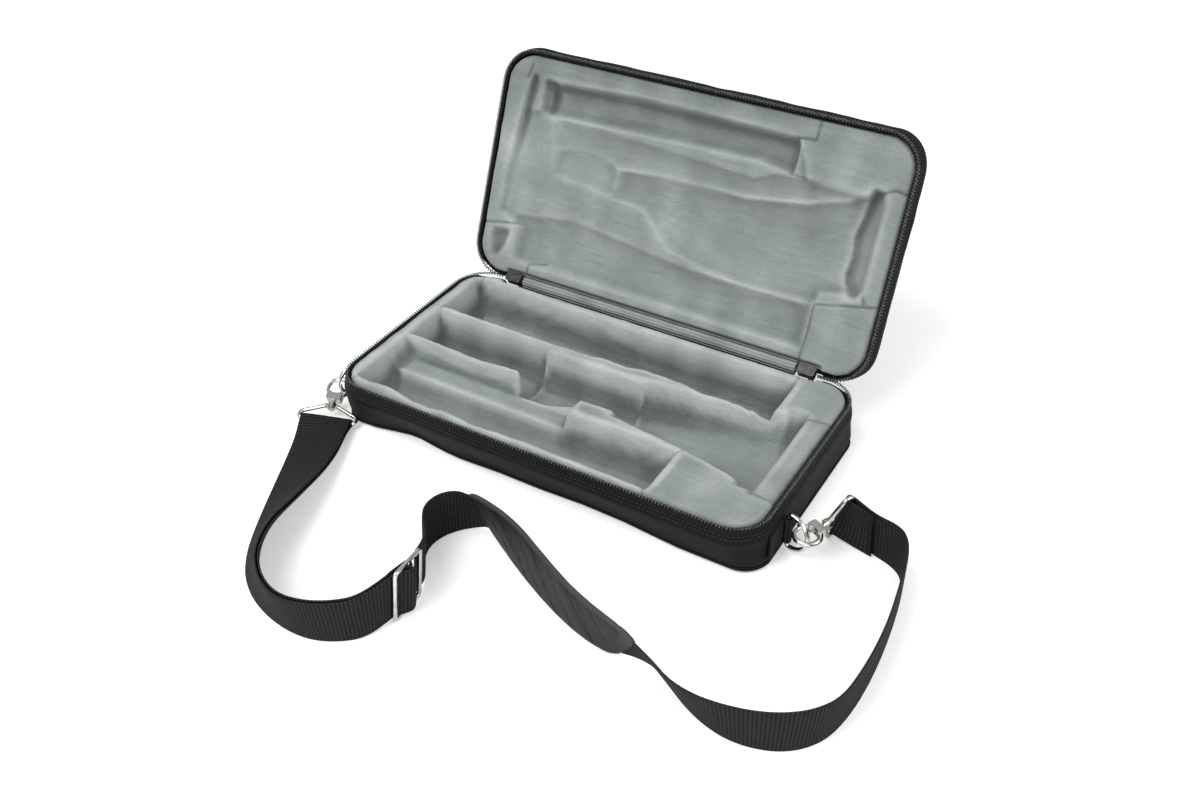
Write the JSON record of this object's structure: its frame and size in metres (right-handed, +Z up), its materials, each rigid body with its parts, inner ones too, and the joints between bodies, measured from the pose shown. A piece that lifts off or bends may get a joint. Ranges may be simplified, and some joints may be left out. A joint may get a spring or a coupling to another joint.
{
  "type": "clarinet case",
  "caption": "Soft zip-round instrument case with plush-lined wells, a hinged padded lid and a hooked-on shoulder strap",
  "frame": {"origin": "centre of the base's flat underside", "axes": "+X along the case to the bell end, -Y to the opening front, +Z up from the base"},
  "size_m": [0.4453, 0.452, 0.2009],
  "materials": {
    "cover": "woven, matt",
    "tray": "matt",
    "plush": "short plush",
    "zip_coil": "satin",
    "zip_metal": "black enamel",
    "webbing": "ribbed",
    "nickel": "polished",
    "pad": "ribbed, matt"
  },
  "bodies": {
    "base": {"base_bottom_panel": "cover", "base_side_panel": "cover", "base_piping": "cover", "base_tray": "tray", "base_zip_tape": "cover", "base_zip_coil": "zip_coil", "base_lining_floor": "plush", "left_end_block": "plush", "front_rail": "plush", "front_divider": "plush", "right_front_block": "plush", "back_divider": "plush", "back_rail": "plush", "back_right_block": "plush", "end_roll": "plush", "hinge_outer_strip": "cover", "hinge_plush_roll": "plush", "d_ring_tab_right": "webbing", "d_ring_tab_left": "webbing", "strap_webbing": "webbing", "shoulder_pad": "pad", "strap_buckle": "nickel", "strap_ring_left": "nickel", "strap_ring_right": "nickel"},
    "lid": {"lid_top_panel": "cover", "lid_side_panel": "cover", "lid_piping": "cover", "lid_shell": "tray", "lid_zip_tape": "cover", "lid_zip_coil": "zip_coil", "lid_left_border": "plush", "lid_right_border": "plush", "lid_front_border": "plush", "lid_corner_block": "plush", "lid_end_block": "plush", "lid_centre_pad": "plush", "hinge_lid_sleeve": "plush"},
    "zip_slider_left": {"zip_slider_left": "zip_metal"},
    "zip_slider_right": {"zip_slider_right": "zip_metal"},
    "zip_pull_left": {"zip_pull_left": "zip_metal"},
    "zip_pull_right": {"zip_pull_right": "zip_metal"},
    "d_ring_left": {"d_ring_left": "nickel"},
    "d_ring_right": {"d_ring_right": "nickel"},
    "hook_left": {"hook_left": "nickel"},
    "hook_right": {"hook_right": "nickel"},
    "hook_gate_left": {"hook_gate_left": "nickel"},
    "hook_gate_right": {"hook_gate_right": "nickel"}
  },
  "joints": [
    {"name": "lid_hinge", "type": "hinge", "parent": "base", "child": "lid", "pos_m": [0, 0.085, 0.042], "axis": [1, 0, 0], "range_deg": [0, 113]},
    {"name": "zip_slider_left_turn", "type": "hinge", "parent": "base", "child": "zip_slider_left", "pos_m": [0, 0.085, 0.042], "axis": [1, 0, 0], "range_deg": [0, 56.5]},
    {"name": "zip_pull_left_flip", "type": "hinge", "parent": "zip_slider_left", "child": "zip_pull_left", "pos_m": [-0.123, 0.08754, 0.03816], "axis": [0, -0.8339, -0.5519], "range_deg": [-40, 40]},
    {"name": "d_ring_left_swing", "type": "hinge", "parent": "base", "child": "d_ring_left", "pos_m": [-0.169, -0.053, 0.016], "axis": [0, 0, 1], "range_deg": [-8, 8]},
    {"name": "hook_left_swivel", "type": "hinge", "parent": "base", "child": "hook_left", "pos_m": [-0.17608, -0.06813, 0.01355], "axis": [0.3301, -0.9102, -0.2501], "range_deg": [-15, 15]},
    {"name": "hook_gate_left_open", "type": "hinge", "parent": "hook_left", "child": "hook_gate_left", "pos_m": [-0.17759, -0.0763, 0.0117], "axis": [-0.0853, 0.2351, -0.9682], "range_deg": [0, 18], "stiffness_Nm_per_rad": 0.02, "springref_deg": -11.46},
    {"name": "zip_slider_right_turn", "type": "hinge", "parent": "base", "child": "zip_slider_right", "pos_m": [0, 0.085, 0.042], "axis": [1, 0, 0], "range_deg": [0, 56.5]},
    {"name": "zip_pull_right_flip", "type": "hinge", "parent": "zip_slider_right", "child": "zip_pull_right", "pos_m": [0.123, 0.08754, 0.03816], "axis": [0, -0.8339, -0.5519], "range_deg": [-40, 40]},
    {"name": "d_ring_right_swing", "type": "hinge", "parent": "base", "child": "d_ring_right", "pos_m": [0.169, -0.046, 0.018], "axis": [0, 0, 1], "range_deg": [-8, 8]},
    {"name": "hook_right_swivel", "type": "hinge", "parent": "base", "child": "hook_right", "pos_m": [0.183, -0.04858, 0.02143], "axis": [0.3901, 0.9203, 0.03], "range_deg": [-15, 15]},
    {"name": "hook_gate_right_open", "type": "hinge", "parent": "hook_right", "child": "hook_gate_right", "pos_m": [0.18202, -0.04013, 0.02165], "axis": [-0.0117, -0.0276, 0.9995], "range_deg": [0, 18], "stiffness_Nm_per_rad": 0.02, "springref_deg": -11.46}
  ],
  "couplings": [
    {"joint": "zip_slider_left_turn", "follows": "lid_hinge", "ratio": 0.5},
    {"joint": "zip_slider_right_turn", "follows": "lid_hinge", "ratio": 0.5}
  ]
}
